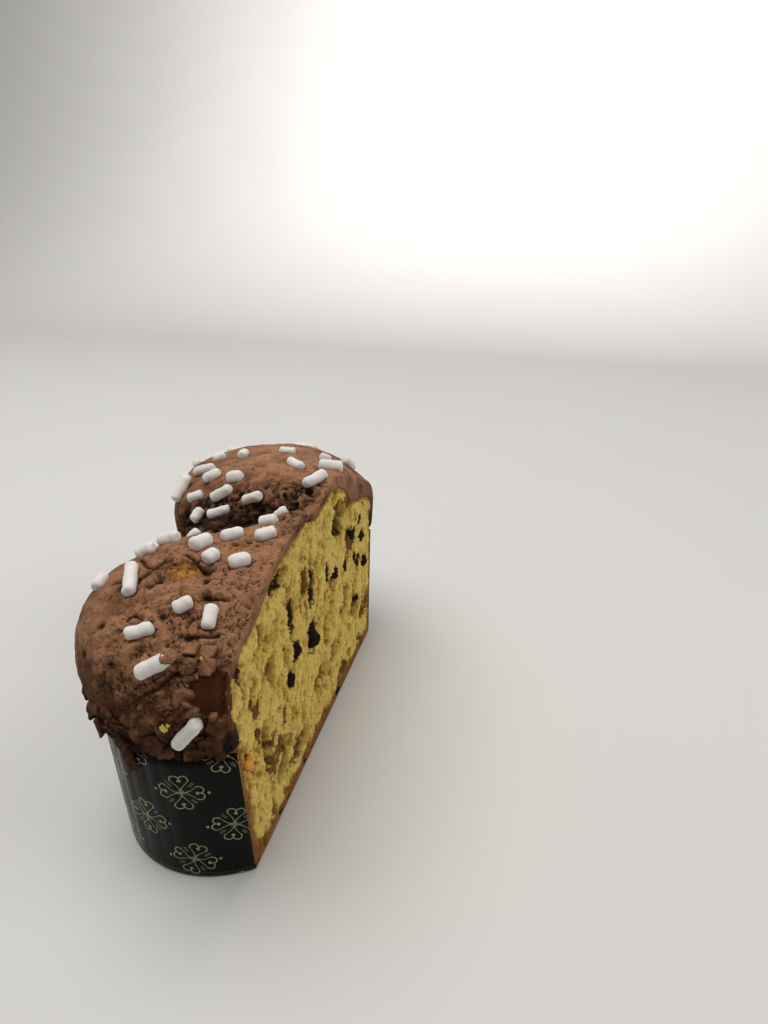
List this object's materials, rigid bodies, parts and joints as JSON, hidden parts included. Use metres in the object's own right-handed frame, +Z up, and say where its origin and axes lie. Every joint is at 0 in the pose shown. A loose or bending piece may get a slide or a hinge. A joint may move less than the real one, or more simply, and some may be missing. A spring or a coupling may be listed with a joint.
{
  "type": "colomba cake half",
  "caption": "Half of a glazed Easter dove cake, cut through the middle, in its half of a printed paper baking case with pearl sugar on top.",
  "frame": {"origin": "middle of the base of the half cake's bounding box, on the surface it stands on", "axes": "+Z up, +X out of the cut face, Y along the cut with the near lobe towards -Y"},
  "size_m": [0.0854, 0.1908, 0.1079],
  "materials": {
    "paper": "satin near-black printed baking paper",
    "crumb": "open moist yellow crumb",
    "glaze": "matte baked cocoa glaze",
    "sugar": "matte white pearl sugar",
    "chocolate": "satin dark chocolate",
    "peel": "moist candied peel"
  },
  "bodies": {
    "root": {"candied_peel": "peel", "chocolate_drop_01": "chocolate", "chocolate_drop_02": "chocolate", "chocolate_drop_03": "chocolate", "chocolate_drop_04": "chocolate", "chocolate_drop_05": "chocolate", "chocolate_drop_06": "chocolate", "chocolate_drop_07": "chocolate", "chocolate_drop_08": "chocolate", "chocolate_drop_09": "chocolate", "chocolate_drop_10": "chocolate", "crumb": "crumb", "glaze": "glaze", "paper_case": "paper", "sugar_stick_01": "sugar", "sugar_stick_02": "sugar", "sugar_stick_03": "sugar", "sugar_stick_04": "sugar", "sugar_stick_05": "sugar", "sugar_stick_06": "sugar", "sugar_stick_07": "sugar", "sugar_stick_08": "sugar", "sugar_stick_09": "sugar", "sugar_stick_10": "sugar", "sugar_stick_11": "sugar", "sugar_stick_12": "sugar", "sugar_stick_13": "sugar", "sugar_stick_14": "sugar", "sugar_stick_15": "sugar", "sugar_stick_16": "sugar", "sugar_stick_17": "sugar", "sugar_stick_18": "sugar", "sugar_stick_19": "sugar", "sugar_stick_20": "sugar", "sugar_stick_21": "sugar", "sugar_stick_22": "sugar", "sugar_stick_23": "sugar", "sugar_stick_24": "sugar", "sugar_stick_25": "sugar", "sugar_stick_26": "sugar", "sugar_stick_27": "sugar", "sugar_stick_28": "sugar", "sugar_stick_29": "sugar", "sugar_stick_30": "sugar", "sugar_stick_31": "sugar", "sugar_stick_32": "sugar", "sugar_stick_33": "sugar", "sugar_stick_34": "sugar", "sugar_stick_35": "sugar", "sugar_stick_36": "sugar", "sugar_stick_37": "sugar", "sugar_stick_38": "sugar", "sugar_stick_39": "sugar"}
  },
  "joints": []
}
